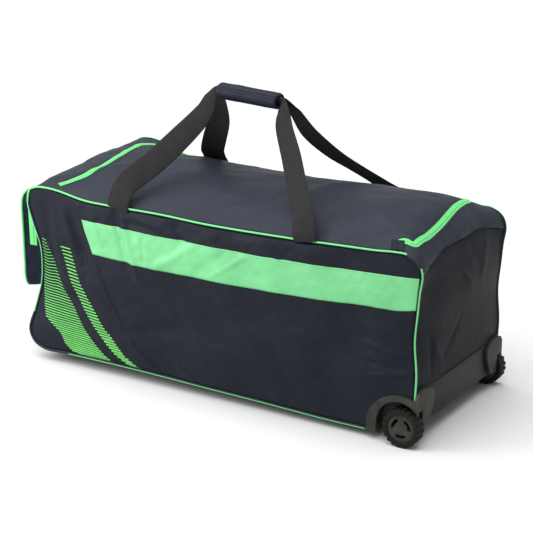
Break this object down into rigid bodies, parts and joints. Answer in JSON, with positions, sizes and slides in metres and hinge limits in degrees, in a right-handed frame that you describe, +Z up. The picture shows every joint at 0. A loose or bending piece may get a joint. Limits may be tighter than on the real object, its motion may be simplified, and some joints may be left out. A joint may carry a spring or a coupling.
{
  "type": "wheeled cricket kit bag",
  "caption": "Long soft kit bag with a zipped lid, an end pocket, a pair of webbing handles in a padded grip and two wheels at one lower end.",
  "frame": {"origin": "on the floor, under the middle of the overall length and width", "axes": "+X along the bag towards the wheels, +Y from the front panel to the back panel, +Z up"},
  "size_m": [0.9914, 0.4008, 0.6046],
  "materials": {
    "navy_fabric": "satin coated nylon",
    "dark_fabric": "satin coated nylon",
    "lime_fabric": "satin coated nylon",
    "webbing": "matte woven",
    "moulded_plastic": "fine grain",
    "kick_board": "satin",
    "tyre_rubber": "matte"
  },
  "bodies": {
    "bag": {"front_panel": "navy_fabric", "back_panel": "navy_fabric", "base_panel": "dark_fabric", "left_end_panel": "navy_fabric", "right_end_panel": "navy_fabric", "lid_panel": "navy_fabric", "top_border_left": "navy_fabric", "top_border_right": "navy_fabric", "top_border_back": "navy_fabric", "lid_zip": "lime_fabric", "zip_tab": "dark_fabric", "front_band": "lime_fabric", "front_piping_upper": "lime_fabric", "front_piping_lower": "lime_fabric", "front_corner_binding": "dark_fabric", "back_piping_upper": "lime_fabric", "back_piping_lower": "lime_fabric", "back_corner_binding": "dark_fabric", "pocket_panel": "navy_fabric", "pocket_gusset": "navy_fabric", "pocket_piping": "lime_fabric", "pocket_zip": "lime_fabric", "front_strap": "webbing", "back_strap": "webbing", "grip_wrap": "dark_fabric", "kick_plate": "kick_board", "wheel_housing_front": "moulded_plastic", "wheel_housing_back": "moulded_plastic", "axle_front": "moulded_plastic", "axle_back": "moulded_plastic"},
    "wheel_front": {"wheel_front_tyre": "tyre_rubber", "wheel_front_hub": "moulded_plastic"},
    "wheel_back": {"wheel_back_tyre": "tyre_rubber", "wheel_back_hub": "moulded_plastic"}
  },
  "joints": [
    {"name": "wheel_front_spin", "type": "hinge", "parent": "bag", "child": "wheel_front", "pos_m": [0.45826, -0.186, 0.0375], "axis": [0, 1, 0], "continuous": true},
    {"name": "wheel_back_spin", "type": "hinge", "parent": "bag", "child": "wheel_back", "pos_m": [0.45826, 0.186, 0.0375], "axis": [0, 1, 0], "continuous": true}
  ]
}
